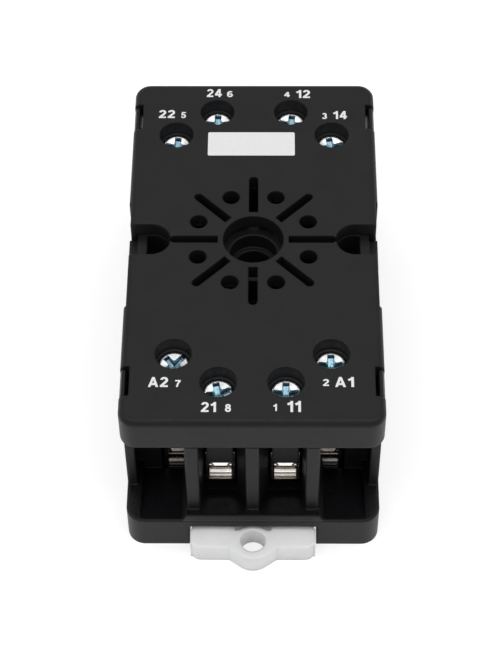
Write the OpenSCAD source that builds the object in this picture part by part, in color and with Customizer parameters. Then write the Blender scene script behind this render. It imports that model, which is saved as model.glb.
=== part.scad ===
// Eight-pin relay socket with rising-cage screw clamps and a sliding rail clip.
// Origin: axis of the relay pin circle, on the face that the relay sits on. +Z leaves that face,
// -Y points at the end with the rail clip. Depths are counted down from the relay face, heights up
// from the mounting face.

/* [Relay interface] */
// Diameter of the circle that the relay pins stand on
pin_circle_d = 17.46; // [16.5:0.1:18.5]
// Diameter of a pin hole in the cover
pin_hole_d = 2.6; // [2.45:0.05:2.9]
// Diameter of the relay's pins
pin_d = 2.36; // [2.2:0.02:2.4]
// Diameter of the centre hole in the cover
key_hole_d = 8.88; // [8:0.1:9.2]
// Diameter of the guide bore for the relay's key post
key_bore_d = 7; // [6:0.1:7.6]
// Diameter of the narrow end of the guide bore
key_tail_d = 5.5; // [4:0.1:5.8]
// Depth of the guide bore's top edge
key_step = 3.3; // [3:0.1:4.5]
// Depth at which the guide bore narrows
key_floor = 6; // [5.5:0.1:9]
// Depth of the end of the guide bore
key_end = 21; // [14:0.5:23]
// Width of the keyway in the guide bore
keyway_w = 2; // [1.2:0.1:2.4]
// Width of the radial slots between the pins
slot_w = 1.35; // [1:0.05:1.6]
// Distance from the axis to the inner end of a radial slot
slot_r_in = 5.2; // [4.8:0.1:6]
// Distance from the axis to the outer end of a radial slot
slot_r_out = 12.2; // [11:0.1:12.6]
// Depth of the radial slots, measured from the relay face
slot_depth = 8; // [4:0.5:10]

/* [Housing] */
// Width of the cover and of the tray
body_w = 37; // [36.6:0.1:42]
// Height from the mounting face to the relay face
body_h = 29.5; // [28:0.1:36]
// Length of the cover
cover_l = 64.4; // [64:0.1:72]
// How far the middle of the housing lies towards the clip end
body_shift = 0.5; // [0:0.1:1]
// How far the tray reaches past the cover at each end
tray_reach = 1.3; // [0.8:0.1:3]
// Thickness of the cover's top plate
plate_t = 2.4; // [1.8:0.1:2.9]
// Height of the cover, plate and skirt together
skirt_h = 6; // [5:0.1:8]
// Thickness of the cover's skirt
skirt_t = 1.3; // [1:0.1:1.6]
// Radius of the cover's upright corners
cover_corner_r = 2.4; // [2.4:0.1:4]
// Radius of the cover's top edge
cover_edge_r = 1.1; // [0.6:0.1:1.2]
// Radius of the tray's upright corners
tray_corner_r = 2.6; // [2:0.1:4]
// Depth to which the cover's sides step in along the middle
waist_depth = 0.35; // [0.1:0.05:0.5]
// Y of the clip-side end of the waist
waist_front = -12.2; // [-15:0.1:-8]
// Y of the far end of the waist
waist_rear = 7.5; // [6:0.1:15]
// Thickness of the housing's side walls
wall_t = 1.5; // [1.2:0.1:1.8]
// Length of the side walls from the middle of the housing to each end
wall_reach = 27.1; // [26:0.1:29]
// Thickness of the wall in front of the clip's guide grooves
lip_t = 1.2; // [0.8:0.1:2]
// Width of the flat rim that the sloping floors leave at the tray's ends
rim_w = 0.5; // [0.3:0.05:0.8]
// Height of the tray's walls beside the middle
tray_h = 6.3; // [5.5:0.1:6.7]
// Height of the raised middle of the tray's end walls
lip_h = 7.6; // [7.1:0.1:8.5]
// Width of the raised middle at its top
lip_w = 19.3; // [18:0.1:20]
// Height of the low end of the floors that slope down to the middle clamps
inner_ramp_h = 5.7; // [5:0.1:6.5]
// Height of the low end of the floors that slope down to the side clamps
outer_ramp_h = 4; // [3:0.1:5]
// Width of the ledge along the tray's sides
ledge_w = 2.2; // [1.6:0.1:2.4]
// Radius of the tray's top outer edge
tray_edge_r = 0.3; // [0.2:0.05:0.5]
// Distance of the side ribs from the middle
rib_x = 8.55; // [8.4:0.05:8.8]
// Length of the cheeks that narrow the middle wire entries
funnel_l = 2.4; // [1.5:0.1:2.4]
// Thickness of the ribs between the wire entries
rib_t = 2; // [1.6:0.1:2.2]
// Radius of the ribs' upright end edges
rib_edge_r = 0.35; // [0.2:0.05:0.45]

/* [Side notches] */
// Width of the notches in the two sides
notch_w = 5.73; // [5:0.1:6.5]
// Distance from the axis to the round end of a notch
notch_r_in = 12.1; // [11.9:0.1:13]
// Thickness of the wall that closes the outside of a notch
notch_wall = 2.8; // [2:0.1:3]
// Depth of the top of that wall
notch_shelf = 3.6; // [3:0.1:5]
// Depth of the floor of a notch
notch_depth = 14; // [8:0.5:18]

/* [Cover latches] */
// Length of a latch window
latch_window = 5.1; // [4:0.1:6]
// Width of a latch arm
latch_w = 4.5; // [3:0.1:4.7]
// Thickness of a latch arm
latch_t = 0.75; // [0.6:0.05:0.9]
// Reach of a latch hook over the cover's ledge
latch_hook = 0.4; // [0.2:0.05:0.5]
// Depth of the cover's ledge under a latch hook
latch_ledge = 3.3; // [3:0.1:4.2]
// Y of the middle of the latch windows at the clip end
latch_front_y = -25.55; // [-27:0.1:-24]
// Y of the middle of the latch windows at the far end
latch_rear_y = 24.55; // [23:0.1:26]

/* [Terminals] */
// X of the middle terminals at the clip end
front_inner_x = 4.71; // [4.5:0.05:4.9]
// Distance of the middle terminals at the clip end from the axis
front_inner_y = 25.74; // [25.4:0.1:26.5]
// X of the side terminals at the clip end
front_outer_x = 11.08; // [11:0.05:12.5]
// Distance of the side terminals at the clip end from the axis
front_outer_y = 20.88; // [20.6:0.1:21.5]
// X of the middle terminals at the far end
rear_inner_x = 5.65; // [4.9:0.05:5.8]
// Distance of the middle terminals at the far end from the axis
rear_inner_y = 25.45; // [25.2:0.1:26.2]
// X of the side terminals at the far end
rear_outer_x = 11.84; // [11.6:0.05:12.5]
// Distance of the side terminals at the far end from the axis
rear_outer_y = 20.72; // [20.6:0.1:21.3]
// Height of the contact strips of the middle terminals
inner_strip_h = 11.4; // [11.3:0.1:11.7]
// Height of the contact strips of the side terminals
outer_strip_h = 7.9; // [7.7:0.1:8.1]
// Diameter of the screw access holes
access_d = 5.17; // [4.8:0.05:5.3]
// Outer diameter of the screw sleeves under the cover
sleeve_d = 5.6; // [5.4:0.05:5.7]
// Width of the guard that hangs in front of each clamp
guard_w = 3.86; // [3:0.1:4.4]
// Thickness of that guard
guard_t = 0.8; // [0.6:0.05:1]
// Distance between the guard's lower end and the contact strip
guard_gap = 2.3; // [1.8:0.1:3.8]

/* [Clamps] */
// Diameter of the screw head
head_d = 4.1; // [3.8:0.05:4.3]
// Height of the screw head
head_h = 1.7; // [1.4:0.05:1.8]
// Depth of the shoulder that carries the screw head
head_seat = 4.3; // [4:0.1:5]
// Diameter of the screw shank
screw_d = 2.9; // [2.6:0.05:3]
// Width of a clamp cage
cage_w = 4.2; // [4.1:0.05:4.4]
// Depth of a clamp cage along the wire
cage_l = 4; // [3.4:0.1:4.1]
// Thickness of the cage's sides
cage_side = 0.5; // [0.4:0.05:0.55]
// Thickness of the rolled upper layer of the cage's floor
cage_floor = 1; // [0.7:0.05:1.05]
// Thickness of the flat lower layer of the cage's floor
under_t = 0.5; // [0.3:0.05:0.6]
// How far the rolled edge stands back from the lower layer
roll_back = 0.5; // [0.2:0.1:0.8]
// Thickness of the cage's threaded top
cage_top = 1.6; // [1.2:0.05:1.8]
// Widest opening under the strip for the wire
gap_max = 3; // [2.6:0.05:3.1]
// Opening of the middle clamps as delivered
inner_gap = 1.5; // [1.2:0.1:2]
// Opening of the side clamps as delivered
outer_gap = 2.4; // [1.5:0.1:2.5]

/* [Contacts] */
// Width of the contact strips
strip_w = 2.9; // [2.4:0.05:3]
// Thickness of the contact strips
strip_t = 0.8; // [0.6:0.05:0.9]
// How far a strip reaches past the screw axis
strip_tip = 1.7; // [1.2:0.1:2]
// Width of the bevels at the tip of a strip
tip_bevel = 0.55; // [0.3:0.05:0.7]
// Wall of the pin receptacles
receptacle_wall = 0.5; // [0.35:0.05:0.55]
// Depth of the open end of the receptacles
receptacle_top = 3.6; // [3.5:0.1:5]
// Depth of the closed end of the receptacles
receptacle_end = 12.6; // [11:0.1:14]
// Width of the slit that splits a receptacle
slit_w = 0.6; // [0.3:0.05:0.8]

/* [Rail clip] */
// Width of the mounting rail
rail_w = 35; // [34.8:0.1:35.2]
// Height of the face that sits on the rail
rail_recess = 4.4; // [4.2:0.05:4.9]
// Play between the rail channel and the rail, on each side
rail_play = 0.2; // [0.1:0.05:0.4]
// Thickness of the rail hooks
hook_t = 3; // [2.4:0.1:3.1]
// Reach of the hooks under the rail
hook_reach = 1.3; // [1:0.1:1.6]
// Width of the clip
clip_w = 18.25; // [17:0.1:18.6]
// Thickness of the clip
clip_t = 3.5; // [3:0.1:3.6]
// How far the clip's front bar stands out of the tray
clip_reach = 2.8; // [2:0.1:4]
// Travel of the clip when it is pulled
clip_travel = 3; // [2:0.1:3.2]
// Diameter of the hole in the clip's lug
lug_hole_d = 3.7; // [3.2:0.05:3.8]
// How far the lug's hole stands out of the tray
lug_reach = 1.65; // [1.5:0.05:2.5]
// Radius of the lug's tip
lug_r = 3; // [2.6:0.1:3.4]

/* [Hidden] */
$fn = 48;

plastic = "#303032";
milky = "#e9e9e6";
plated = "#c9c9c4";
nickel = "#b9b4a8";
tinned = "#cfc7b4";

seam = 0.1;
play = 0.2;
swing_gap = 0.35;
over = 1;
pin_count = 8;
pin_r = pin_circle_d / 2;
first_angle = -67.5;
half_w = body_w / 2;
front_y = -body_shift - cover_l / 2;
rear_y = -body_shift + cover_l / 2;
tray_front = front_y - tray_reach;
tray_rear = rear_y + tray_reach;
tray_l = tray_rear - tray_front;
base_top = plate_t + seam;
skirt_in = half_w - skirt_t;
wall_in = half_w - wall_t;
wall_front = -body_shift - wall_reach;
wall_rear = -body_shift + wall_reach;
rib_face = rib_x - rib_t / 2;
lip_low = body_h - tray_h;
lip_high = body_h - lip_h;
inner_level = body_h - inner_strip_h;
outer_level = body_h - outer_strip_h;
rail_roof = body_h - rail_recess;
sleeve_end_inner = inner_level - gap_max - cage_top - 0.3 + play;
sleeve_rise = outer_level - inner_level;
floor_layers = cage_floor + under_t;
inside_w = cage_w - 2 * cage_side;
cage_h = cage_top + gap_max + strip_t + 0.3 + floor_layers;
shank_r = screw_d / 2;
thread_play = 0.05;
key_clear = 1;
pin_grip = 0.05;
notch_c = notch_r_in + notch_w / 2;
tunnel_roof = rail_roof - 0.4;
clip_drop = 0.1;
clip_bottom = body_h - clip_drop;
clip_top = clip_bottom - clip_t;
clip_front = tray_front - clip_reach;
tail_gap = 0.055;
tail_side = front_outer_x - cage_w / 2 - tail_gap;
channel_y = rail_w / 2 + rail_play;
lug_y = tray_front - lug_reach;

// Terminals in pin order: [x, y, inner row]. The side terminal 5 and the middle terminal 6 are
// swapped against the pin order, so their strips cross on two levels.
terminals = [
    [front_inner_x, -front_inner_y, true],
    [front_outer_x, -front_outer_y, false],
    [rear_outer_x, rear_outer_y, false],
    [rear_inner_x, rear_inner_y, true],
    [-rear_outer_x, rear_outer_y, false],
    [-rear_inner_x, rear_inner_y, true],
    [-front_outer_x, -front_outer_y, false],
    [-front_inner_x, -front_inner_y, true]];

function pin_angle(n) = first_angle + (n - 1) * 360 / pin_count;
function pin_xy(n) = [pin_r * cos(pin_angle(n)), pin_r * sin(pin_angle(n))];
function term_xy(n) = [terminals[n - 1][0], terminals[n - 1][1]];
function is_inner(n) = terminals[n - 1][2];
function way(n) = sign(terminals[n - 1][1]);
function level(n) = is_inner(n) ? inner_level : outer_level;
function rest_gap(n) = is_inner(n) ? inner_gap : outer_gap;
function level_drop(n) = is_inner(n) ? 0 : sleeve_rise;
function elbow_xy(n) = [terminals[n - 1][0], terminals[n - 1][1] - way(n) * (cage_l / 2 + 1.3)];
function tip_y(n) = terminals[n - 1][1] + way(n) * strip_tip;
function cage_bottom(n) = level(n) + strip_t + rest_gap(n) + floor_layers;
function core_y(n) = terminals[n - 1][1] + way(n) * (cage_l / 2 + swing_gap);
function entry_near(n) = max(abs(terminals[n - 1][0]) - cage_w / 2 - swing_gap, rib_t / 2);
function entry_far(n) = min(abs(terminals[n - 1][0]) + cage_w / 2 + swing_gap, rib_face);
function pit_depth(n) = level(n) + strip_t + gap_max + floor_layers + swing_gap;

// Rectangle with round corners, centred
module round_rect(w, l, r) {
    square([w - 2 * r, l], center = true);
    square([w, l - 2 * r], center = true);
    for (x = [-1, 1], y = [-1, 1])
        translate([x * (w / 2 - r), y * (l / 2 - r)]) circle(r);
}

// Block from one depth to another, with its x and y ranges
module block(x0, x1, y0, y1, deep, shallow) {
    translate([x0, y0, -deep]) cube([x1 - x0, y1 - y0, deep - shallow]);
}

// Upright cylinder between two depths
module post(r, deep, shallow) {
    translate([0, 0, -deep]) cylinder(r = r, h = deep - shallow);
}

module at_terminal(n) {
    translate(term_xy(n)) children();
}

module both_sides() {
    children();
    mirror([1, 0, 0]) children();
}

// Half section of a slab h high with a round top edge, from the middle out to half width x
module edge_section(x, h, e) {
    translate([0, -h]) square([x, h - e]);
    translate([0, -e - 0.01]) square([x - e, e + 0.01]);
    translate([x - e, -e]) circle(e);
}

// Plate with round upright corners of radius r and a round top edge of radius e
module pillow(w, l, h, r, e) {
    for (turn = [0, 180]) rotate(turn) {
        translate([0, l / 2 - r, 0]) rotate([90, 0, 0]) linear_extrude(l - 2 * r) edge_section(w / 2, h, e);
        translate([-w / 2 + r, 0, 0]) rotate([90, 0, 90]) linear_extrude(w - 2 * r)
            edge_section(l / 2, h, e);
    }
    for (x = [-1, 1], y = [-1, 1])
        translate([x * (w / 2 - r), y * (l / 2 - r), 0]) rotate_extrude() edge_section(r, h, e);
}

// Outline of one radial slot: square inner end, round outer end
module slot_outline() {
    translate([slot_r_in, -slot_w / 2]) square([slot_r_out - slot_w / 2 - slot_r_in, slot_w]);
    translate([slot_r_out - slot_w / 2, 0]) circle(slot_w / 2);
}

module radial_slots(deep) {
    translate([0, 0, -deep]) linear_extrude(deep + over)
        for (k = [0 : pin_count - 1]) rotate(k * 360 / pin_count) slot_outline();
}

// Side notch, open to the outside above the given depth
module notch(deep) {
    translate([notch_c, 0, 0]) post(notch_w / 2, deep, -over);
    block(notch_c, half_w + over, -notch_w / 2, notch_w / 2, deep, -over);
}

module cover_latch_window(y) {
    ledge_x = skirt_in - 0.1 + latch_hook + play / 2;
    block(skirt_in - 0.1, half_w + over, y - latch_window / 2, y + latch_window / 2, latch_ledge, -over);
    block(ledge_x, half_w + over, y - latch_window / 2, y + latch_window / 2, skirt_h + over, 0);
}

// Sleeve that carries one screw head, with the guard in front of the clamp
module screw_sleeve(n) {
    at_terminal(n) {
        post(sleeve_d / 2, sleeve_end_inner + level_drop(n), plate_t - 0.01);
        guard_near = cage_l / 2 + play;
        side = way(n) > 0 ? guard_near : -guard_near - guard_t;
        block(-guard_w / 2, guard_w / 2, side, side + guard_t, level(n) - guard_gap, plate_t - 0.01);
    }
}

module screw_bore(n) {
    at_terminal(n) {
        post(access_d / 2, plate_t, -over);
        post(head_d / 2 + play, head_seat, -over);
        post(shank_r + play, body_h, -over);
    }
}

module top_cover() {
    color(plastic) difference() {
        union() {
            difference() {
                translate([0, -body_shift, 0])
                    pillow(body_w, cover_l, skirt_h, cover_corner_r, cover_edge_r);
                translate([0, -body_shift, -skirt_h - over]) linear_extrude(skirt_h - plate_t + over)
                    round_rect(2 * skirt_in, cover_l - 2 * skirt_t, cover_corner_r - skirt_t);
            }
            for (n = [1 : pin_count]) screw_sleeve(n);
        }
        for (n = [1 : pin_count]) {
            screw_bore(n);
            translate(pin_xy(n)) post(pin_hole_d / 2, plate_t + over, -over);
        }
        post(key_hole_d / 2, plate_t + over, -over);
        radial_slots(plate_t + over);
        both_sides() {
            notch(skirt_h + over);
            block(half_w - waist_depth, half_w + over, waist_front, waist_rear, skirt_h + over, -over);
            cover_latch_window(latch_front_y);
            cover_latch_window(latch_rear_y);
        }
    }
}

// Latch arm on the outside of the side wall, hooked over the cover's ledge
module latch_arm(y) {
    arm_x = half_w - latch_t - 0.05;
    translate([0, y + latch_w / 2, 0]) rotate([90, 0, 0]) linear_extrude(latch_w)
        polygon([[arm_x, -skirt_h - seam - 0.01], [arm_x, -latch_ledge + seam],
            [arm_x - latch_hook, -latch_ledge + seam], [arm_x - latch_hook, -latch_ledge + 0.9],
            [arm_x, -0.5], [arm_x + latch_t * 0.6, -0.5], [arm_x + latch_t, -1.4],
            [arm_x + latch_t, -skirt_h - seam - 0.01]]);
}

// Raised middle of the tray
module raised_middle() {
    slope = lip_low - lip_high;
    translate([0, tray_rear, 0]) rotate([90, 0, 0]) linear_extrude(tray_l)
        polygon([[-lip_w / 2 - slope / 2, -lip_low - 0.01], [-lip_w / 2, -lip_high],
            [lip_w / 2, -lip_high], [lip_w / 2 + slope / 2, -lip_low - 0.01]]);
}

// Rib seen from above, with round edges at its end
module rib_outline(y_end) {
    turn_y = y_end - sign(y_end) * rib_edge_r;
    translate([-rib_t / 2, min(turn_y, 0)]) square([rib_t, abs(turn_y)]);
    translate([-rib_t / 2 + rib_edge_r, min(y_end, 0)]) square([rib_t - 2 * rib_edge_r, abs(y_end)]);
    for (side = [-1, 1]) translate([side * (rib_t / 2 - rib_edge_r), turn_y]) circle(rib_edge_r);
}

module rib(x, y_end) {
    near = y_end > 0 ? 0 : y_end;
    far = y_end > 0 ? y_end : 0;
    translate([x, 0, -lip_low - 1]) linear_extrude(lip_low + 1 - skirt_h - seam) rib_outline(y_end);
    inset = skirt_t + seam;
    block(x - rib_t / 2, x + rib_t / 2, min(near + inset, 0), max(far - inset, 0),
        skirt_h + seam + 0.01, base_top);
}

// Trench that one contact is laid into from above
module contact_trench(n) {
    trench_w = strip_w + 2 * play;
    translate([0, 0, -level(n) - strip_t - seam]) linear_extrude(level(n) + strip_t + seam + over)
        strip_outline(n, trench_w, tip_y(n));
    translate(pin_xy(n)) post(pin_d / 2 + receptacle_wall + play, receptacle_end + 0.9, -over);
}

// Space around a clamp and the sleeve above it
module clamp_pocket(n) {
    at_terminal(n) {
        post(sleeve_d / 2 + play, level(n), -over);
        block(-cage_w / 2 - swing_gap, cage_w / 2 + swing_gap,
            -cage_l / 2 - swing_gap, cage_l / 2 + swing_gap, pit_depth(n), plate_t);
        far = cage_l / 2 + play + guard_t + play;
        block(-guard_w / 2 - play, guard_w / 2 + play, way(n) > 0 ? 0 : -far, way(n) > 0 ? far : 0,
            level(n), plate_t);
    }
}

// Rail channel with the fixed hook at the far end, as a section along X
module rail_channel() {
    translate([-half_w - over, 0, 0]) rotate([90, 0, 90]) linear_extrude(body_w + 2 * over)
        polygon([[-channel_y, -body_h - over], [-channel_y, -rail_roof], [channel_y, -rail_roof],
            [channel_y, -body_h + hook_t - 0.3], [channel_y - hook_reach, -body_h + hook_t - 0.3],
            [channel_y - hook_reach, -body_h + 1], [channel_y - hook_reach + 1, -body_h],
            [channel_y - hook_reach + 1, -body_h - over]]);
}

module clip_tunnel() {
    side = max(clip_w / 2, tail_side) + play;
    groove = tail_side + 1.5;
    block(-side, side, tray_front - over, -channel_y + 0.5, body_h + over, tunnel_roof);
    block(-groove, groove, tray_front + lip_t + 0.6, -channel_y + 0.5,
        clip_bottom - 0.4, clip_bottom - 1.8);
}

// Space over a floor that slopes from the tray's end down to the housing's core
module ramp(x0, x1, y_end, y_core, shallow, deep) {
    y_rim = y_end - sign(y_end) * rim_w;
    translate([x0, 0, 0]) rotate([90, 0, 90]) linear_extrude(x1 - x0)
        polygon([[y_rim, -shallow], [y_core, -deep], [y_core, over], [y_rim, over]]);
}

// Plan of the space between two ribs, out to the tray's end and narrowed towards clamp n
module entry_outline(n) {
    m = sign(term_xy(n)[0]);
    y_end = way(n) * tray_l;
    y_wide = core_y(n) + way(n) * funnel_l;
    polygon([[m * rib_t / 2, y_end], [m * rib_t / 2, y_wide], [m * entry_near(n), core_y(n)],
        [m * entry_far(n), core_y(n)], [m * rib_face, y_wide], [m * rib_face, y_end]]);
}

module middle_ramp(n) {
    intersection() {
        ramp(-rib_x, rib_x, way(n) > 0 ? tray_rear : tray_front, core_y(n), lip_high,
            body_h - inner_ramp_h);
        translate([0, 0, -body_h]) linear_extrude(body_h + 2 * over) entry_outline(n);
    }
}

// Cheeks that narrow the wire entry towards clamp n
module cheeks(n) {
    m = sign(term_xy(n)[0]);
    y_in = core_y(n) - way(n) * 0.5;
    y_out = core_y(n) + way(n) * funnel_l;
    translate([0, 0, -lip_low - 1]) linear_extrude(lip_low + 1 - base_top) {
        polygon([[m * (rib_t / 2 - 0.5), y_out], [m * (rib_t / 2 - 0.5), y_in],
            [m * entry_near(n), y_in], [m * entry_near(n), core_y(n)], [m * rib_t / 2, y_out]]);
        if (entry_far(n) < rib_face)
            polygon([[m * (rib_face + 0.5), y_out], [m * (rib_face + 0.5), y_in],
                [m * entry_far(n), y_in], [m * entry_far(n), core_y(n)], [m * rib_face, y_out]]);
    }
}

module base_housing() {
    side_in = lip_w / 2 + (lip_low - lip_high) / 2;
    side_out = half_w - ledge_w;
    core_w = rib_x + rib_t / 2;
    color(plastic) difference() {
        union() {
            difference() {
                union() {
                    translate([0, -body_shift, -lip_low])
                        pillow(body_w, tray_l, tray_h, tray_corner_r, tray_edge_r);
                    raised_middle();
                }
                both_sides() {
                    ramp(side_in, side_out, tray_front, core_y(2), lip_low, body_h - outer_ramp_h);
                    ramp(side_in, side_out, tray_rear, core_y(3), lip_low, body_h - outer_ramp_h);
                }
                for (n = [1 : pin_count]) if (is_inner(n)) middle_ramp(n);
            }
            block(-core_w, core_w, core_y(1), core_y(4), lip_low + 1, base_top);
            block(-wall_in, wall_in, core_y(2), core_y(3), lip_low + 1, base_top);
            for (n = [1 : pin_count]) if (is_inner(n)) cheeks(n);
            for (x = [-rib_x, 0, rib_x]) {
                rib(x, front_y);
                rib(x, rear_y);
            }
            both_sides() {
                block(wall_in, half_w - 0.1, wall_front, wall_rear, lip_low + 1, skirt_h + seam);
                block(wall_in - 1.3, skirt_in - seam, wall_front + 2, wall_rear - 2,
                    skirt_h + 2, base_top);
                block(notch_c - notch_w, half_w - 0.1, -notch_w / 2 + play, notch_w / 2 - play,
                    lip_low, notch_shelf);
                latch_arm(latch_front_y);
                latch_arm(latch_rear_y);
            }
        }
        for (n = [1 : pin_count]) {
            contact_trench(n);
            clamp_pocket(n);
        }
        post(key_bore_d / 2, key_floor, -over);
        post(key_tail_d / 2, key_end, -over);
        post(key_hole_d / 2 + key_clear, key_step, -over);
        block(-keyway_w / 2, keyway_w / 2, -key_hole_d / 2, 0, key_floor, -over);
        radial_slots(slot_depth);
        both_sides() intersection() {
            translate([notch_c, 0, 0]) post(notch_w / 2, notch_depth, -over);
            block(0, half_w - notch_wall, -notch_w, notch_w, notch_depth + over, -2 * over);
        }
        rail_channel();
        clip_tunnel();
    }
}

// Clip plate seen from above: front bar, lug, stem and tail
module clip_outline() {
    r = 1.5;
    bar_l = 3.1;
    translate([0, clip_front + bar_l / 2 + 0.3]) square([clip_w, bar_l - 0.6], center = true);
    translate([0, clip_front + r]) square([clip_w - 2 * r, 2 * r], center = true);
    for (x = [-1, 1]) translate([x * (clip_w / 2 - r), clip_front + r]) circle(r);
    translate([0, lug_y]) circle(lug_r);
    base_x = lug_r + 0.5;
    polygon([[-base_x, clip_front], [base_x, clip_front],
        [lug_r * cos(50), lug_y - lug_r * sin(50)], [-lug_r * cos(50), lug_y - lug_r * sin(50)]]);
}

module rail_clip() {
    tail_front = clip_front + 3.1;
    nose_y = -channel_y + hook_reach;
    tail_w = 2 * tail_side;
    arm_front = tail_front + 2.2;
    arm_rear = -channel_y - 3.4;
    color(milky) difference() {
        union() {
            translate([0, 0, -clip_bottom]) linear_extrude(clip_t) clip_outline();
            block(-tail_w / 2, tail_w / 2, tail_front - 0.6, -channel_y - play, clip_bottom, clip_top);
            // nose that catches the rail, bevelled below
            translate([-tail_w / 2 + 1.5, 0, 0]) rotate([90, 0, 90]) linear_extrude(tail_w - 3)
                polygon([[-channel_y - 1, -clip_bottom], [nose_y - 0.9, -clip_bottom],
                    [nose_y, -clip_bottom + 1.1], [nose_y, -body_h + hook_t - 0.3],
                    [-channel_y - 1, -body_h + hook_t - 0.3]]);
            // guide strips
            both_sides() block(tail_side - 0.8, tail_side + 1.1, tray_front + lip_t + 0.9 + clip_travel,
                -channel_y - 0.6, clip_bottom - 0.7, clip_bottom - 1.5);
        }
        translate([0, lug_y, 0]) post(lug_hole_d / 2, body_h + over, 0);
        // hollow behind the lug
        difference() {
            block(-lug_r + 0.3, lug_r - 0.3, tray_front + 0.1, arm_front, clip_top + 1.5, clip_top - over);
            translate([0, lug_y, 0]) post(lug_hole_d / 2 + 0.75, body_h, 0);
        }
        // slits that leave a springy arm on each side
        both_sides() {
            block(tail_side - 2.4, tail_side - 1.4, arm_front, arm_rear, body_h + over, 0);
            block(lug_r + 0.6, tail_side - 1.4, arm_front, arm_front + 1.2, body_h + over, 0);
        }
    }
}

module cross_recess() {
    for (a = [0, 90]) rotate(a) translate([-1.25, -0.26, -1.15]) cube([2.5, 0.52, 2]);
    translate([-head_d, -0.3, -0.45]) cube([2 * head_d, 0.6, 2]);
}

module terminal_screw(n) {
    color(plated) at_terminal(n) translate([0, 0, -head_seat + 0.15]) {
        difference() {
            union() {
                cylinder(r = head_d / 2, h = head_h * 0.6);
                translate([0, 0, head_h * 0.6 - 0.01])
                    cylinder(r1 = head_d / 2, r2 = head_d / 2 - 0.55, h = head_h * 0.4);
            }
            translate([0, 0, head_h]) cross_recess();
        }
        shank_l = level(n) - head_seat;
        translate([0, 0, -shank_l]) cylinder(r = shank_r, h = shank_l + 0.01);
    }
}

// Cage seen along the wire: threaded top, wire opening, floor with round lower corners
module cage_section() {
    r = 0.9;
    difference() {
        union() {
            translate([-cage_w / 2, r]) square([cage_w, cage_h - r]);
            translate([-cage_w / 2 + r, 0]) square([cage_w - 2 * r, cage_h]);
            for (x = [-1, 1]) translate([x * (cage_w / 2 - r), r]) circle(r);
        }
        translate([-cage_w / 2 + cage_side, floor_layers])
            square([inside_w, cage_h - floor_layers - cage_top]);
    }
}

// What the round edge of the upper layer leaves free, at the two ends of the cage's floor
module roll_relief() {
    roll_y = cage_l / 2 - roll_back - cage_floor;
    for (turn = [0, 180]) rotate(turn) difference() {
        translate([-inside_w / 2, roll_y, under_t]) cube([inside_w, cage_l, cage_floor + 0.01]);
        translate([-cage_w, roll_y, under_t]) rotate([0, 90, 0]) cylinder(r = cage_floor, h = 2 * cage_w);
    }
}

module clamp_cage(n) {
    color(nickel) at_terminal(n) translate([0, 0, -cage_bottom(n)]) difference() {
        translate([0, cage_l / 2, 0]) rotate([90, 0, 0]) linear_extrude(cage_l) cage_section();
        translate([0, 0, cage_h - cage_top - over])
            cylinder(r = shank_r + thread_play, h = cage_top + 2 * over);
        roll_relief();
        // grooves across the floor that bite the wire
        for (y = [-0.3, 0.3]) translate([-inside_w / 2, y, floor_layers - 0.18]) rotate([45, 0, 0])
            cube([inside_w, 0.25, 0.25]);
    }
}

// One contact strip w wide seen from above: from behind the pin to a mitred elbow, then on to end_y
module strip_outline(n, w, end_y) {
    p = pin_xy(n);
    e = elbow_xy(n);
    ahead = (e - p) / norm(e - p);
    across = [-ahead[1], ahead[0]] * w / 2;
    tip_across = [-way(n), 0] * w / 2;
    mitre = (across + tip_across) / (1 + across * tip_across * 4 / (w * w));
    heel = p - ahead * (w / 2 - 0.2);
    tip = [e[0], end_y];
    polygon([heel + across, e + mitre, tip + tip_across, tip - tip_across, e - mitre, heel - across]);
}

module strip_tip_bevel(n) {
    x = term_xy(n)[0];
    y = tip_y(n);
    for (s = [-1, 1]) translate([x + s * strip_w / 2, y]) rotate(45)
        square(tip_bevel * sqrt(2), center = true);
}

// Lead-in across the upper edge of a strip's tip
module strip_lead_in(n) {
    side = tip_bevel * 0.8 * sqrt(2);
    translate([term_xy(n)[0] - strip_w, tip_y(n), -level(n)]) rotate([45, 0, 0])
        translate([0, -side / 2, -side / 2]) cube([2 * strip_w, side, side]);
}

module contact(n) {
    tube_r = pin_d / 2 + receptacle_wall;
    bore_r = pin_d / 2 - pin_grip;
    p = pin_xy(n);
    run = elbow_xy(n) - p;
    color(tinned) difference() {
        union() {
            translate([0, 0, -level(n) - strip_t]) linear_extrude(strip_t) difference() {
                strip_outline(n, strip_w, tip_y(n));
                strip_tip_bevel(n);
            }
            translate(p) post(tube_r, receptacle_end, receptacle_top);
            translate(p) rotate(atan2(run[1], run[0]))
                block(-strip_t / 2, strip_t / 2, -tube_r + 0.4, tube_r - 0.4, level(n) + 0.01,
                    receptacle_end - 0.01);
        }
        strip_lead_in(n);
        translate(p) post(bore_r, receptacle_end - strip_t, 0);
        translate(p) translate([0, 0, -receptacle_top - 0.5])
            cylinder(r1 = bore_r, r2 = tube_r - 0.1, h = 0.51);
        translate(p) rotate(atan2(run[1], run[0]))
            block(-tube_r - over, tube_r + over, -slit_w / 2, slit_w / 2, receptacle_end - 2.5, 0);
    }
}

base_housing();
top_cover();
rail_clip();
for (n = [1 : pin_count]) {
    terminal_screw(n);
    clamp_cage(n);
    contact(n);
}
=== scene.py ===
import math

import bpy
import numpy as np
from mathutils import Matrix, Vector


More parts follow.
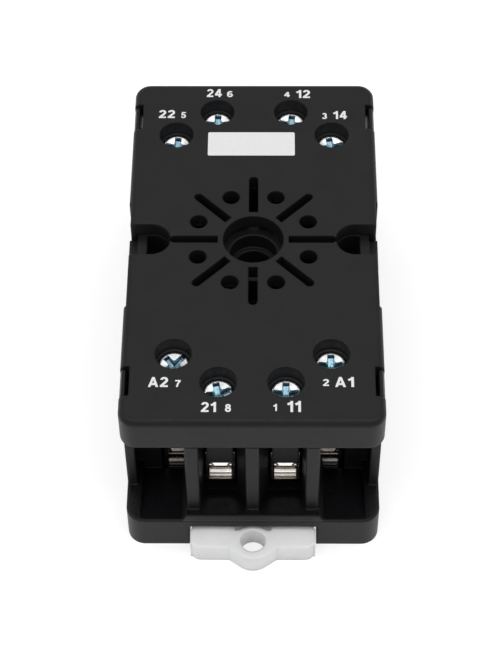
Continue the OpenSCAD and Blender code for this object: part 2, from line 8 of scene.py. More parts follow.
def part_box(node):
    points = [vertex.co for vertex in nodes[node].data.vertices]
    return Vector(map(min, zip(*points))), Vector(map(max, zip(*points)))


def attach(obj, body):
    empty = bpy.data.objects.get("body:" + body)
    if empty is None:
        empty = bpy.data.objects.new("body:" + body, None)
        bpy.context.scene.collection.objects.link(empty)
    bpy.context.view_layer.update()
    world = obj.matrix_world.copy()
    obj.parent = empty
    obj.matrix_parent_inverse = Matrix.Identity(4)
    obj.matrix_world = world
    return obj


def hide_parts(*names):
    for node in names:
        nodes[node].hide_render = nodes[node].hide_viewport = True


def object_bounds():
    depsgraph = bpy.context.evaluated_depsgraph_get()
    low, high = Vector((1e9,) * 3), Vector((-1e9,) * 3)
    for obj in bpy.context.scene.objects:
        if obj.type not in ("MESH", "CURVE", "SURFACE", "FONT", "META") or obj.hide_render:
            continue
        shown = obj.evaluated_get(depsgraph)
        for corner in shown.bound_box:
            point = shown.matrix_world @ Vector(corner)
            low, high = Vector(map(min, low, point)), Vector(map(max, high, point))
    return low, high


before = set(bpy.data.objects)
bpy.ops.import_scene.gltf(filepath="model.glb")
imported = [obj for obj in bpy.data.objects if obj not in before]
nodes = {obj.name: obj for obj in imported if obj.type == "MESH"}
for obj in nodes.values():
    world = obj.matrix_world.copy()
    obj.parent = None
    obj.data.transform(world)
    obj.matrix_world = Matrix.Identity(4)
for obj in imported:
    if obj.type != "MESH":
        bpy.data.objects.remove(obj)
cadBox = [list(corner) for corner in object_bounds()]
mm = 0.001
print("frame loaded:", len(nodes), "solids")


# A named mesh object from points in millimetres and faces, riding on a body
def addMesh(name, points, faces, body, materials, faceMaterial=None, smooth=True):
    mesh = bpy.data.meshes.new(name)
    mesh.from_pydata((np.asarray(points) * mm).tolist(), [], [list(map(int, f)) for f in faces])
    mesh.update()
    if smooth:
        mesh.shade_smooth()
    for material in materials:
        mesh.materials.append(material)
    if faceMaterial is not None:
        mesh.polygons.foreach_set("material_index", np.asarray(faceMaterial, dtype=np.int32))
    piece = bpy.data.objects.new(name, mesh)
    bpy.context.scene.collection.objects.link(piece)
    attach(piece, body)
    return piece


# Rises from 0 to 1 as t goes from 0 to 1, flat at both ends: t squared times (3 minus 2t)
def smoothStep(t):
    t = np.clip(t, 0, 1)
    return t * t * (3 - 2 * t)


# Closed skin round the z axis: rows of points from one pole to the other, each row going once round.
# Quads join neighbouring rows, and a fan of triangles closes each pole.
def closedSkin(rows, topPole, bottomPole, start=0):
    count, around = rows.shape[:2]
    r = np.arange(count - 1)[:, None] * around
    c = np.arange(around)[None, :]
    turn = (c + 1) % around
    quads = np.stack([r + c, r + around + c, r + around + turn, r + turn], axis=-1).reshape(-1, 4) + start
    points = np.concatenate([rows.reshape(-1, 3), [topPole, bottomPole]])
    top, bottom = start + count * around, start + count * around + 1
    ring = np.arange(around)
    last = (count - 1) * around
    fans = [(top, start + a, start + (a + 1) % around) for a in ring]
    fans += [(bottom, start + last + (a + 1) % around, start + last + a) for a in ring]
    return points, quads.tolist() + fans


# Closed slab under a grid of points: the grid, the same grid lower by the thickness, and walls between
def slab(upper, thickness):
    rows, columns = upper.shape[:2]
    index = np.arange(rows * columns).reshape(rows, columns)
    corners = [index[:-1, :-1], index[:-1, 1:], index[1:, 1:], index[1:, :-1]]
    top = np.stack(corners, axis=-1).reshape(-1, 4)
    rim = np.concatenate([index[0, :-1], index[:-1, -1], index[-1, :0:-1], index[:0:-1, 0]])
    following, below = np.roll(rim, -1), rows * columns
    walls = np.stack([rim + below, following + below, following, rim], axis=-1)
    points = upper.reshape(-1, 3)
    faces = np.concatenate([top, top[:, ::-1] + below, walls])
    return np.concatenate([points, points - (0, 0, thickness)]), faces


# A material with its plain values on the shader's own sockets
def newMaterial(name, color, roughness, metallic=0.0, specular=0.5):
    material = bpy.data.materials.new(name)
    material.use_nodes = True
    shader = material.node_tree.nodes["Principled BSDF"]
    shader.inputs["Base Color"].default_value = (*color, 1)
    shader.inputs["Roughness"].default_value = roughness
    shader.inputs["Metallic"].default_value = metallic
    shader.inputs["Specular IOR Level"].default_value = specular
    material.diffuse_color = (*color, 1)
    return material, shader


# Noise on Object coordinates, in cells of one metre over scale. Stretch multiplies the coordinates, so a
# share below 1 draws the noise out along that axis, as rolling does.
def objectNoise(tree, scale, detail=3.0, stretch=None):
    place = tree.nodes.new("ShaderNodeTexCoord")
    noise = tree.nodes.new("ShaderNodeTexNoise")
    noise.inputs["Scale"].default_value = scale
    noise.inputs["Detail"].default_value = detail
    source = place.outputs["Object"]
    if stretch:
        mapping = tree.nodes.new("ShaderNodeMapping")
        mapping.inputs["Scale"].default_value = stretch
        tree.links.new(source, mapping.inputs["Vector"])
        source = mapping.outputs["Vector"]
    tree.links.new(source, noise.inputs["Vector"])
    return noise.outputs["Fac"]


# Maps the range lowIn..highIn straight onto lowOut..highOut, held at the ends
def spread(tree, source, lowOut, highOut, lowIn=0.3, highIn=0.7):
    node = tree.nodes.new("ShaderNodeMapRange")
    ends = {"From Min": lowIn, "From Max": highIn, "To Min": lowOut, "To Max": highOut}
    for socket, value in ends.items():
        node.inputs[socket].default_value = value
    tree.links.new(source, node.inputs["Value"])
    return node.outputs["Result"]


# Colour that goes straight from darker to lighter as the source goes from lowIn to highIn
def tint(tree, source, darker, lighter, lowIn=0.3, highIn=0.7):
    ramp = tree.nodes.new("ShaderNodeValToRGB")
    first, last = ramp.color_ramp.elements
    first.position, last.position = lowIn, highIn
    first.color, last.color = (*darker, 1), (*lighter, 1)
    tree.links.new(source, ramp.inputs["Fac"])
    return ramp.outputs["Color"]


# One sum, product, difference or maximum of a and b, each of them a number or a socket
def calculate(tree, operation, a, b):
    node = tree.nodes.new("ShaderNodeMath")
    node.operation = operation
    for socket, value in zip(node.inputs, (a, b)):
        if isinstance(value, (int, float)):
            socket.default_value = value
        else:
            tree.links.new(value, socket)
    return node.outputs["Value"]


# One part, X, Y or Z, of a vector
def partOf(tree, vector, part):
    parts = tree.nodes.new("ShaderNodeSeparateXYZ")
    tree.links.new(vector, parts.inputs["Vector"])
    return parts.outputs[part]


# Bump of the given strength and distance, on top of edges rounded to the given radius in metres
def addBump(tree, shader, height, strength, distance, edgeRadius=0.0):
    bump = tree.nodes.new("ShaderNodeBump")
    bump.inputs["Strength"].default_value = strength
    bump.inputs["Distance"].default_value = distance
    tree.links.new(height, bump.inputs["Height"])
    if edgeRadius:
        edge = tree.nodes.new("ShaderNodeBevel")
        edge.samples = 8
        edge.inputs["Radius"].default_value = edgeRadius
        tree.links.new(edge.outputs["Normal"], bump.inputs["Normal"])
    tree.links.new(bump.outputs["Normal"], shader.inputs["Normal"])


# Puts one material on a solid of the frame
def dress(nodeName, material):
    slots = nodes[nodeName].data.materials
    slots.clear()
    slots.append(material)


# lengths are in metres; a noise scale is its number of cells in a metre
mouldedPlastic = {
    "color": (0.0082, 0.0082, 0.00902),
    "roughness": 0.42,
    "specular": 0.19,
    "flowScale": 220.0, "flowSpread": 0.14,    # broad patches, a little darker and lighter
    "grainScale": 6500.0,      # fine spark-eroded grain, about 0.15 mm
    "grainDepth": 0.000026, "grainStrength": 0.5,
    "smoother": 0.07, "rougher": 0.08,         # how far the grain moves the roughness
    "edgeRadius": 0.00042,
    "floorBelow": -0.0216,     # the tray's floors lie below this height,
    "floorRun": 0.0002,        # and the mask fades out over this
    "floorColor": (0.0052, 0.0052, 0.0062),
    "floorGrainScale": 3600.0,
    "floorGrainDepth": 0.00006,
    "floorSmoother": 0.12,
    "upwardFrom": 0.6, "upwardFull": 0.9,      # the normal's z where a face begins to count as floor
}


# Where the tray's floors are: a product of two ramps. One rises as the normal's z goes from upwardFrom
# to upwardFull, and the other falls to 0 just above floorBelow.
def trayMask(tree, values):
    normal = tree.nodes.new("ShaderNodeNewGeometry").outputs["Normal"]
    spot = tree.nodes.new("ShaderNodeTexCoord").outputs["Object"]
    floorTop = values["floorBelow"]
    upward = spread(tree, partOf(tree, normal, "Z"), 0, 1, values["upwardFrom"], values["upwardFull"])
    low = spread(tree, partOf(tree, spot, "Z"), 1, 0, floorTop, floorTop + values["floorRun"])
    return calculate(tree, "MULTIPLY", upward, low)


# Black moulded plastic: colour in broad patches, roughness and bump from a fine grain. On the tray's
# floors a coarser sparkling grain is added, and the colour and roughness go down.
def makeHousingPlastic(name, values, withFloor):
    material, shader = newMaterial(name, values["color"], values["roughness"], 0.0, values["specular"])
    tree = material.node_tree
    height = objectNoise(tree, values["grainScale"], 2.0)
    middle, change = np.array(values["color"]), values["flowSpread"]
    flow = objectNoise(tree, values["flowScale"])
    color = tint(tree, flow, tuple(middle * (1 - change)), tuple(middle * (1 + change)))
    plain = values["roughness"]
    rough = spread(tree, height, plain - values["smoother"], plain + values["rougher"])
    if withFloor:
        mask = trayMask(tree, values)
        coarse = calculate(tree, "MULTIPLY", objectNoise(tree, values["floorGrainScale"]), mask)
        deeper = calculate(tree, "MULTIPLY", coarse, values["floorGrainDepth"] / values["grainDepth"])
        height = calculate(tree, "ADD", height, deeper)
        mix = tree.nodes.new("ShaderNodeMix")
        mix.data_type = "RGBA"
        tree.links.new(mask, mix.inputs["Factor"])
        tree.links.new(color, mix.inputs["A"])
        mix.inputs["B"].default_value = (*values["floorColor"], 1)
        color = mix.outputs["Result"]
        polish = calculate(tree, "MULTIPLY", mask, values["floorSmoother"])
        rough = calculate(tree, "SUBTRACT", rough, polish)
    tree.links.new(color, shader.inputs["Base Color"])
    tree.links.new(rough, shader.inputs["Roughness"])
    addBump(tree, shader, height, values["grainStrength"], values["grainDepth"], values["edgeRadius"])
    return material


dress("base_housing", makeHousingPlastic("housingPlastic", mouldedPlastic, True))
dress("top_cover", makeHousingPlastic("coverPlastic", mouldedPlastic, False))

milkyClip = {
    "darker": (0.83, 0.83, 0.84), "lighter": (0.88, 0.88, 0.89), "patchScale": 260.0,
    "roughness": 0.36, "edgeRadius": 0.0004,
    "milkiness": 0.45, "depth": 0.0022, "glow": (1.0, 0.98, 0.96),   # light inside the plastic
    "grainScale": 3000.0, "grainDepth": 0.00001, "grainStrength": 0.25,
}


# Milky plastic: light spreads under the surface to the depth given, and patches vary the white
def makeClipPlastic(values):
    material, shader = newMaterial("clipPlastic", values["lighter"], values["roughness"])
    shader.inputs["Subsurface Weight"].default_value = values["milkiness"]
    shader.inputs["Subsurface Radius"].default_value = values["glow"]
    shader.inputs["Subsurface Scale"].default_value = values["depth"]
    tree = material.node_tree
    patches = objectNoise(tree, values["patchScale"])
    tree.links.new(tint(tree, patches, values["darker"], values["lighter"]), shader.inputs["Base Color"])
    grain = objectNoise(tree, values["grainScale"], 2.0)
    addBump(tree, shader, grain, values["grainStrength"], values["grainDepth"], values["edgeRadius"])
    return material


clipPlastic = makeClipPlastic(milkyClip)
dress("rail_clip", clipPlastic)

webValues = {
    "halfWidth": 2.66, "ringRadius": 2.5,   # millimetres
    "lugBack": 3.0,     # from the clip's foremost point to the lug's axis
    "reach": 1.1,       # how far the web runs in behind the tray's front
    "under": 0.35, "thick": 0.5, "sag": 0.12,
    "acrossPoints": 49, "alongPoints": 9,
}


# Web that closes the hollow behind the lug. Seen from above it runs from a circle round the lug's axis
# back under the tray; its top sags by the square of a cosine across the width.
def makeWeb(values):
    low, high = (np.array(corner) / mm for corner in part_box("rail_clip"))
    axisY = low[1] + values["lugBack"]
    top = high[2] - values["under"]
    x = np.linspace(-values["halfWidth"], values["halfWidth"], values["acrossPoints"])
    front = axisY + np.sqrt(np.maximum(values["ringRadius"] ** 2 - x ** 2, 0.0))
    back = axisY + values["ringRadius"] + values["reach"]
    y = front + (back - front) * np.linspace(0, 1, values["alongPoints"])[:, None]
    sheet = top - values["sag"] * np.cos(x / values["halfWidth"] * math.pi / 2) ** 2
    upper = np.stack([np.broadcast_to(x, y.shape), y, np.broadcast_to(sheet, y.shape)], axis=-1)
    points, faces = slab(upper, values["thick"])
    addMesh("clipWeb", points, faces, "clip", [clipPlastic], smooth=False)


makeWeb(webValues)

# edgeRadius in metres; rolling marks have their own noise scale and stretch
metalValues = {
    "cageNickel": {
        "darker": (0.76, 0.71, 0.65), "lighter": (0.93, 0.89, 0.84), "rough": (0.12, 0.22),
        "scale": 2600.0, "stretch": (1, 0.12, 1), "edgeRadius": 0.00012},
    "contactTin": {
        "darker": (0.84, 0.79, 0.72), "lighter": (0.97, 0.94, 0.90), "rough": (0.14, 0.26),
        "scale": 2200.0, "stretch": (1, 0.15, 1), "edgeRadius": 0.00015},
    # painted shade: the same nickel and tin as above, painted darker, for the outer clamps
    "shadedNickel": {
        "darker": (0.14, 0.125, 0.11), "lighter": (0.26, 0.24, 0.22), "rough": (0.22, 0.36),
        "scale": 2600.0, "stretch": (1, 0.12, 1), "edgeRadius": 0.00016},
    "shadedTin": {
        "darker": (0.16, 0.14, 0.12), "lighter": (0.30, 0.26, 0.23), "rough": (0.24, 0.38),
        "scale": 2200.0, "stretch": (1, 0.15, 1), "edgeRadius": 0.0002},
}
platedValues = {"patchScale": 500.0, "marksStrength": 0.12, "marksDepth": 0.000006}
outerClamps = (2, 3, 5, 7)     # these stand further from the ends; their metal is rougher and painted darker, as painted shade


# Plated sheet metal: colour in patches, roughness and a faint bump from rolling marks along one axis,
# and sheared edges softly rounded
def makeMetal(name, darker, lighter, rough, scale, stretch, edgeRadius):
    material, shader = newMaterial(name, lighter, rough[0], 1.0)
    tree = material.node_tree
    patches = objectNoise(tree, platedValues["patchScale"])
    tree.links.new(tint(tree, patches, darker, lighter), shader.inputs["Base Color"])
    marks = objectNoise(tree, scale, 4.0, stretch)
    tree.links.new(spread(tree, marks, *rough), shader.inputs["Roughness"])
    addBump(tree, shader, marks, platedValues["marksStrength"], platedValues["marksDepth"], edgeRadius)
    return material


metals = {name: makeMetal(name, **values) for name, values in metalValues.items()}
# the outer clamps get the copies painted darker, as painted shade
for n in range(1, 9):
    dress(f"clamp_cage_{n}", metals["shadedNickel" if n in outerClamps else "cageNickel"])
    dress(f"contact_{n}", metals["shadedTin" if n in outerClamps else "contactTin"])
print("materials set")


screwValues = {
    "around": 256, "headRows": 64, "rimRows": 12, "shankAround": 64,
    "headHeight": 1.7, "shankRadius": 1.45,   # millimetres, as are the lengths below
    "headSpread": 0.14,    # how far the head's rim stands out past the plain solid's
    "dishDeep": 0.46, "dishRadius": 1.78,     # shallow hollow round the recess
    "rimRound": 0.3,       # radius of the rounding at the rim
    "underCut": 0.12,      # bevel at the head's lower edge
    "poleGap": 0.03, "tuckedTo": 0.8,         # shares: of the way out to the rim, and of the shank's radius
    "deepest": 0.82, "pressedTo": 0.6,        # shares of the head's height
    "armHalf": 0.44, "armEnd": 1.66, "armDeep": 1.25, "armRise": 0.5,
    "slotHalf": 0.34, "slotDeep": 0.62,
    "coneRadius": 0.86, "coneDeep": 1.3, "coneRun": 0.45,
    "wallRun": 0.1,
    "recessFrom": 0.22,    # faces deeper than this get the recess's zinc, painted darker as painted shade
    "pitch": 0.5, "threadDeep": 0.1, "rowsPerTurn": 6,
    "intoHead": 0.1,       # how far the shank runs up into the head
    "neck": 1.2, "neckRun": 0.6,              # plain stretch under the head
    "tipRun": 0.5, "tipNarrow": 0.25,         # narrower tip
    "threadAtTip": 0.35, "widthAtTip": 0.2,   # how far along their rise both ramps are at the very tip
    "turned": {1: 0, 2: 0, 3: 12, 4: -8, 5: -5, 6: 0, 7: 45, 8: 15},   # degrees, as delivered
}


# Depth of the driver recess under the head's top at (x, y): the deepest of a cross whose floor rises
# outwards, a slot that runs out through the rim, and a cone in the middle. Walls slope over wallRun.
def recessDepth(x, y, values):
    run = values["wallRun"]
    r = np.hypot(x, y)
    depth = np.zeros_like(r)
    for along, across in ((x, y), (y, x)):
        inside = smoothStep((values["armHalf"] - np.abs(across)) / run + 0.5)
        ends = smoothStep((values["armEnd"] - np.abs(along)) / run + 0.5)
        armFloor = values["armDeep"] - values["armRise"] * np.abs(along) / values["armEnd"]
        depth = np.maximum(depth, inside * ends * armFloor)
    slot = values["slotDeep"] * smoothStep((values["slotHalf"] - np.abs(y)) / run + 0.5)
    cone = values["coneDeep"] * smoothStep((values["coneRadius"] - r) / values["coneRun"])
    return np.maximum(np.maximum(depth, slot), cone)


# The head's skin: radius grows over the top, which is a shallow cone that rises outwards, turns down round
# the rim, then comes back under the head to the shank. The recess is pressed down from the top.
def headSkin(x0, y0, top, radius, turn, values):
    height, rim, cut = values["headHeight"], values["rimRound"], values["underCut"]
    flat = np.sin(np.linspace(values["poleGap"], 1, values["headRows"]) * math.pi / 2) * (radius - rim)
    bend = np.linspace(0, math.pi / 2, values["rimRows"])[1:]
    under = [radius, radius - cut, values["shankRadius"] * values["tuckedTo"]]
    r = np.concatenate([flat, radius - rim + rim * np.sin(bend), under])
    dish = values["dishDeep"] * np.maximum(1 - flat / values["dishRadius"], 0)
    z = np.concatenate([-dish, -dish[-1] - rim * (1 - np.cos(bend)), [-height + cut, -height, -height]])
    angle = np.linspace(0, 2 * math.pi, values["around"], endpoint=False)
    x, y = r[:, None] * np.cos(angle), r[:, None] * np.sin(angle)
    depth = recessDepth(x, y, values)
    lowest = -height * values["deepest"]
    pressed = np.maximum(z[:, None] - depth, lowest)
    floor = np.where(z[:, None] > -height * values["pressedTo"], pressed, z[:, None])
    c, s = math.cos(turn), math.sin(turn)
    rows = np.stack([x0 + x * c - y * s, y0 + x * s + y * c, top + floor], axis=-1)
    poles = (x0, y0, top + max(-values["coneDeep"], lowest)), (x0, y0, top - height)
    return rows, poles, depth


# The threaded shank: radius dips by a rounded triangle wave of (height over pitch minus the part of a
# turn). The wave fades out below the head and towards the tip, where the radius narrows.
def shankSkin(x0, y0, top, bottom, values):
    z = np.linspace(top, bottom, int((top - bottom) / values["pitch"] * values["rowsPerTurn"]))
    angle = np.linspace(0, 2 * math.pi, values["shankAround"], endpoint=False)
    wave = np.abs(((z[:, None] / values["pitch"] - angle / (2 * math.pi)) % 1) * 2 - 1)
    fromTip = (z - bottom) / values["tipRun"]
    fade = smoothStep((top - values["neck"] - z) / values["neckRun"])
    fade = fade * smoothStep(fromTip + values["threadAtTip"])
    narrow = values["tipNarrow"] * (1 - smoothStep(fromTip + values["widthAtTip"]))
    r = values["shankRadius"] - values["threadDeep"] * smoothStep(wave) * fade[:, None] - narrow[:, None]
    level = np.broadcast_to(z[:, None], r.shape)
    return np.stack([x0 + r * np.cos(angle), y0 + r * np.sin(angle), level], axis=-1)


zincValues = {
    "screwZinc": {
        "base": (0.90, 0.92, 0.93), "darker": (0.86, 0.89, 0.91), "lighter": (0.95, 0.96, 0.97),
        "patchScale": 900.0, "marksScale": 2400.0, "rough": (0.18, 0.36), "bumpy": True},
    "shadedRecessZinc": {
        # the recess: the plating's blue tint, painted much darker than the head as painted shade
        "base": (0.20, 0.32, 0.38), "darker": (0.10, 0.19, 0.24), "lighter": (0.24, 0.38, 0.45),
        "patchScale": 1400.0, "marksScale": 2600.0, "rough": (0.2, 0.42), "bumpy": False},
}


# Zinc plate: colour in fine patches and roughness from marks, which are faintly raised on the head
def makeZinc(name, values):
    material, shader = newMaterial(name, values["base"], values["rough"][0], 1.0)
    tree = material.node_tree
    patches = objectNoise(tree, values["patchScale"])
    tree.links.new(tint(tree, patches, values["darker"], values["lighter"]), shader.inputs["Base Color"])
    marks = objectNoise(tree, values["marksScale"], 4.0)
    tree.links.new(spread(tree, marks, *values["rough"]), shader.inputs["Roughness"])
    if values["bumpy"]:
        addBump(tree, shader, marks, platedValues["marksStrength"], platedValues["marksDepth"])
    return material


# A whole screw on the axis and between the ends of the plain solid: the head's skin, then the shank's,
# which begins just inside the head
def makeScrew(n, materials, values):
    low, high = (np.array(corner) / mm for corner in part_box(f"terminal_screw_{n}"))
    x0, y0 = (low[0] + high[0]) / 2, (low[1] + high[1]) / 2
    headRadius = (high[0] - low[0]) / 2 + values["headSpread"]
    rows, poles, depth = headSkin(x0, y0, high[2], headRadius, math.radians(values["turned"][n]), values)
    points, faces = closedSkin(rows, *poles)
    neckTop = high[2] - values["headHeight"] + values["intoHead"]
    shank = shankSkin(x0, y0, neckTop, low[2], values)
    more, moreFaces = closedSkin(shank, (x0, y0, neckTop), (x0, y0, low[2]), len(points))
    deep = np.concatenate([depth.reshape(-1), [values["coneDeep"], 0]])    # the poles come last
    # faces in the recess get the zinc painted darker, as painted shade
    inRecess = [int(min(deep[f[0]], deep[f[2]]) > values["recessFrom"]) for f in faces]
    screw = addMesh(f"screw{n}", np.concatenate([points, more]), faces + moreFaces, f"screw_{n}",
                    materials, inRecess + [0] * len(moreFaces))
    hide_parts(f"terminal_screw_{n}")


zincs = [makeZinc(name, values) for name, values in zincValues.items()]
for n in range(1, 9):
    makeScrew(n, zincs, screwValues)
print("screws made")


# terminal numbers, each with its box on the cover: left, right, near and far edge in millimetres
printValues = {
    "lift": 0.006,      # mm above the cover's face
    "overlap": 0.002,   # mm from one stroke up to the next
    "weight": 0.2,      # stroke width over character height
    "gap": 0.13,        # between characters, over their height
    "numbers": [
        ("22", -14.68, -12.21, 24.21, 25.90), ("5", -11.28, -10.51, 24.21, 25.48),
        ("24", -7.37, -5.04, 28.67, 30.38), ("6", -4.25, -3.32, 28.67, 29.95),
        ("4", 4.60, 5.53, 28.67, 29.74), ("12", 6.46, 8.64, 28.46, 30.17),
        ("3", 10.43, 11.20, 24.01, 25.27), ("14", 12.13, 14.28, 24.01, 25.69),
        ("A2", -14.43, -11.66, -26.64, -24.93), ("7", -10.68, -9.85, -26.63, -25.44),
        ("21", -6.99, -4.93, -30.83, -29.16), ("8", -3.70, -2.87, -30.82, -29.49),
        ("1", 2.89, 3.44, -30.64, -29.47), ("11", 4.81, 6.73, -30.81, -28.96),
        ("2", 9.81, 10.64, -26.42, -25.23), ("A1", 11.48, 14.11, -26.59, -24.88)],
    "field": (-7.0, 6.2, 16.46, 21.23), "fieldRadius": 0.25,
    "base": (0.79, 0.79, 0.795), "darker": (0.66, 0.66, 0.665), "lighter": (0.69, 0.69, 0.695),
    "roughness": 0.55, "patchScale": 1800.0,
    "grainScale": 7000.0, "grainStrength": 0.3, "grainDepth": 0.00001,
}


# Points on an ellipse from one angle to another, in degrees
def arc(cx, cy, rx, ry, start, end):
    t = np.radians(np.linspace(start, end, 28))
    return np.stack([cx + rx * np.cos(t), cy + ry * np.sin(t)], axis=-1)


# The middle lines of each character's strokes, in a box 1 high
strokes = {
    "1": [[(0.33, -0.1), (0.33, 1.1)], [(0.36, 0.86), (0.02, 0.68)]],
    "2": [np.concatenate([arc(0.31, 0.69, 0.205, 0.215, 172, -38), [(0.08, 0.1)]]),
          [(0.0, 0.09), (0.61, 0.09)]],
    "3": [arc(0.3, 0.715, 0.185, 0.19, 165, -90), arc(0.3, 0.305, 0.215, 0.21, 90, -168)],
    "4": [[(0.42, 0.98), (0.07, 0.3)], [(0.0, 0.29), (0.66, 0.29)], [(0.44, -0.1), (0.44, 1.1)]],
    "5": [[(0.14, 0.91), (0.59, 0.91)], [(0.19, 0.95), (0.12, 0.47)],
          arc(0.3, 0.325, 0.22, 0.235, 140, -165)],
    "6": [arc(0.32, 0.315, 0.22, 0.22, 0, 360), arc(0.35, 0.48, 0.25, 0.425, 48, 200)],
    "7": [[(0.0, 0.91), (0.6, 0.91)], [(0.56, 0.95), (0.32, 0.5), (0.2, -0.1)]],
    "8": [arc(0.31, 0.725, 0.185, 0.18, 0, 360), arc(0.31, 0.3, 0.215, 0.205, 0, 360)],
    "A": [[(0.07, -0.1), (0.37, 1.06)], [(0.67, -0.1), (0.37, 1.06)], [(0.18, 0.29), (0.56, 0.29)]],
}


# Ribbon along a path: each point is moved half the width to both sides of the path's direction, and
# held within the character's height
def ribbon(path, width):
    path = np.asarray(path, dtype=float)
    along = np.gradient(path, axis=0)
    along /= np.linalg.norm(along, axis=1)[:, None]
    side = np.stack([-along[:, 1], along[:, 0]], axis=-1) * width / 2
    points = np.concatenate([path - side, path + side])
    points[:, 1] = np.clip(points[:, 1], 0, 1)
    k, n = np.arange(len(path) - 1), len(path)
    return points, np.stack([k, k + 1, k + 1 + n, k + n], axis=-1)


# Characters side by side, stretched to fill their box; each stroke lies a little above the one before,
# so that no two faces share a plane
def numberFaces(text, x0, x1, y0, y1, values):
    allPoints, allFaces, count, left = [], [], 0, 0.0
    for letter in text:
        ribbons = [ribbon(path, values["weight"]) for path in strokes[letter]]
        start = min(points[:, 0].min() for points, faces in ribbons)
        end = max(points[:, 0].max() for points, faces in ribbons)
        for level, (points, faces) in enumerate(ribbons):
            height = np.full((len(points), 1), values["lift"] + values["overlap"] * level)
            allPoints.append(np.concatenate([points + (left - start, 0), height], axis=1))
            allFaces.append(faces + count)
            count += len(points)
        left += end - start + values["gap"]
    points = np.concatenate(allPoints)
    low, high = points[:, :2].min(0), points[:, :2].max(0)
    points[:, :2] = (points[:, :2] - low) / (high - low) * (x1 - x0, y1 - y0) + (x0, y0)
    return points, np.concatenate(allFaces)


# Outline of a rectangle with round corners: a quarter turn of the radius about each corner's centre
def roundedField(x0, x1, y0, y1, radius, height):
    perCorner = 7
    corner = np.repeat([0, 1, 2, 3], perCorner)
    angle = (corner + np.tile(np.linspace(0, 1, perCorner), 4)) * math.pi / 2
    cx = np.where((corner == 0) | (corner == 3), x1 - radius, x0 + radius)
    cy = np.where(corner < 2, y1 - radius, y0 + radius)
    z = np.full(len(corner), height)
    return np.stack([cx + radius * np.cos(angle), cy + radius * np.sin(angle), z], axis=-1)


# White print: colour in fine patches and a faint grain
def makePrintWhite(values):
    material, shader = newMaterial("printWhite", values["base"], values["roughness"])
    tree = material.node_tree
    patches = objectNoise(tree, values["patchScale"], 4.0)
    tree.links.new(tint(tree, patches, values["darker"], values["lighter"]), shader.inputs["Base Color"])
    grain = objectNoise(tree, values["grainScale"], 2.0)
    addBump(tree, shader, grain, values["grainStrength"], values["grainDepth"])
    return material


# All numbers in one mesh, and the writing field in another
def makePrint(values):
    printWhite = makePrintWhite(values)
    allPoints, allFaces, count = [], [], 0
    for number in values["numbers"]:
        points, faces = numberFaces(*number, values)
        allPoints.append(points)
        allFaces.append(faces + count)
        count += len(points)
    addMesh("terminalNumbers", np.concatenate(allPoints), np.concatenate(allFaces), "housing", [printWhite],
            smooth=False)
    field = roundedField(*values["field"], values["fieldRadius"], values["lift"])
    addMesh("writingField", field, [list(range(len(field)))], "housing", [printWhite],
            smooth=False)


makePrint(printValues)
print("print made")


stageValues = {
    "floorSize": 3.0, "floorGray": 0.5, "floorGlow": 0.60, "floorRoughness": 0.9, "floorSpecular": 0.1,
    "worldStrength": 0.68, "frontShade": 0.08,
    "shadeFull": -0.7, "shadeEnd": -0.3,      # the direction's y, across the band's front edge
    "shadeLow": 0.25, "shadeHigh": 0.5,       # its z, across the band's upper edge
    "lamps": [
        # name, place (mm), size (mm), watts; all aim at the socket
        ("softBoxLeft", (-420, -60, 420), (420, 420), 0.4),
        ("softBoxRight", (420, -60, 420), (420, 420), 0.4),
        ("softBoxTop", (0, 260, 520), (500, 300), 0.4),
        ("frontBox", (0, -620, 300), (700, 160), 0.35),
        ("overBox", (0, -185, 480), (600, 130), 0.8)],
}


# Square floor at the socket's lowest point. Its own grey takes the shadow, and a glow that only the
# camera, reflections and see-through rays see is added, so that it shows white.
def makeFloor(values):
    lowest = cadBox[0][2]
    h = values["floorSize"] / 2
    corners = [(-h, -h, lowest), (h, -h, lowest), (h, h, lowest), (-h, h, lowest)]
    floorMesh = bpy.data.meshes.new("floor")
    floorMesh.from_pydata(corners, [], [(0, 1, 2, 3)])
    floor = bpy.data.objects.new("floor", floorMesh)
    bpy.context.scene.collection.objects.link(floor)
    gray, roughness, specular = (values[k] for k in ("floorGray", "floorRoughness", "floorSpecular"))
    floorWhite, shader = newMaterial("floorWhite", (gray,) * 3, roughness, 0.0, specular)
    tree = floorWhite.node_tree
    glow = tree.nodes.new("ShaderNodeEmission")
    path = tree.nodes.new("ShaderNodeLightPath")
    seen = calculate(tree, "ADD", path.outputs["Is Camera Ray"], path.outputs["Is Glossy Ray"])
    seen = calculate(tree, "ADD", seen, path.outputs["Is Transmission Ray"])
    tree.links.new(calculate(tree, "MULTIPLY", seen, values["floorGlow"]), glow.inputs["Strength"])
    both = tree.nodes.new("ShaderNodeAddShader")
    tree.links.new(shader.outputs["BSDF"], both.inputs[0])
    tree.links.new(glow.outputs["Emission"], both.inputs[1])
    tree.links.new(both.outputs["Shader"], tree.nodes["Material Output"].inputs["Surface"])
    floorMesh.materials.append(floorWhite)


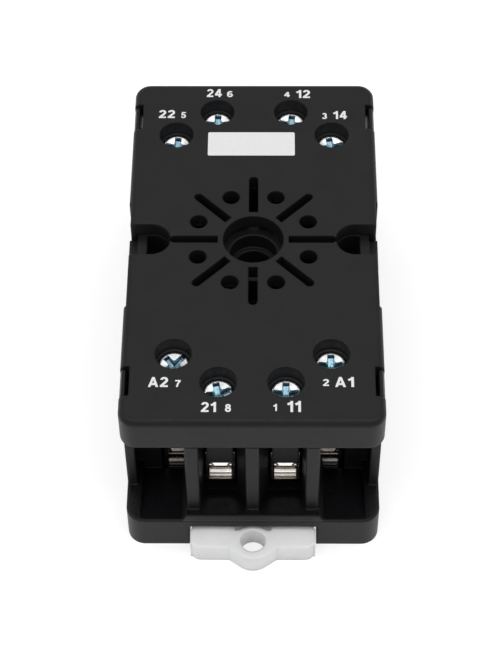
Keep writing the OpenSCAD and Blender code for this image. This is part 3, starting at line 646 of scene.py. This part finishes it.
# The room is even and pale, and white to the camera. Only reflections see a darker band low on the clip's
# side: strength falls from worldStrength to frontShade where the direction's -y is large and its z small.
def makeRoom(values):
    world = bpy.data.worlds.new("studio")
    bpy.context.scene.world = world
    world.use_nodes = True
    tree = world.node_tree
    background = tree.nodes["Background"]
    background.inputs["Color"].default_value = (1, 1, 1, 1)
    direction = tree.nodes.new("ShaderNodeTexCoord").outputs["Generated"]
    frontward = spread(tree, partOf(tree, direction, "Y"), 1, 0, values["shadeFull"], values["shadeEnd"])
    low = spread(tree, partOf(tree, direction, "Z"), 1, 0, values["shadeLow"], values["shadeHigh"])
    path = tree.nodes.new("ShaderNodeLightPath")
    band = calculate(tree, "MULTIPLY", frontward, low)
    dim = calculate(tree, "MULTIPLY", band, path.outputs["Is Glossy Ray"])
    strength = spread(tree, dim, values["worldStrength"], values["frontShade"], 0, 1)
    shown = calculate(tree, "MAXIMUM", strength, path.outputs["Is Camera Ray"])
    tree.links.new(shown, background.inputs["Strength"])


# A rectangular soft lamp that looks back along its own place, towards the origin
def makeLamp(name, place, size, watts):
    data = bpy.data.lights.new(name, "AREA")
    data.shape = "RECTANGLE"
    data.size, data.size_y = size[0] * mm, size[1] * mm
    data.energy = watts
    lamp = bpy.data.objects.new(name, data)
    lamp.location = Vector(place) * mm
    lamp.rotation_euler = (-Vector(place)).to_track_quat("-Z", "Y").to_euler()
    bpy.context.scene.collection.objects.link(lamp)


makeFloor(stageValues)
makeRoom(stageValues)
for lampValues in stageValues["lamps"]:
    makeLamp(*lampValues)

cameraValues = {
    "place": (2.396, -185.310, 222.159),   # millimetres
    "pitch": 52.903, "yaw": -0.938, "roll": -0.674,   # degrees
    "focal": 2.959,   # focal length over the frame's long side
}


# Looks down by pitch and sideways by yaw, then turns about its own line of sight by roll
def makeCamera(values):
    pitch, yaw, roll = (math.radians(values[k]) for k in ("pitch", "yaw", "roll"))
    ahead = Vector((math.sin(yaw) * math.cos(pitch), math.cos(yaw) * math.cos(pitch), -math.sin(pitch)))
    level = Vector((math.cos(yaw), -math.sin(yaw), 0))
    upright = level.cross(ahead)
    right = math.cos(roll) * level + math.sin(roll) * upright
    up = -math.sin(roll) * level + math.cos(roll) * upright
    data = bpy.data.cameras.new("viewCamera")
    data.sensor_width = 36
    data.lens = data.sensor_width * values["focal"]
    data.clip_start = 0.01
    camera = bpy.data.objects.new("viewCamera", data)
    turned = Matrix((right, up, -ahead)).transposed().to_4x4()
    camera.matrix_world = Matrix.Translation(Vector(values["place"]) * mm) @ turned
    bpy.context.scene.collection.objects.link(camera)
    bpy.context.scene.camera = camera


makeCamera(cameraValues)
bpy.context.scene.view_settings.view_transform = "Standard"
print("stage, light and camera set")
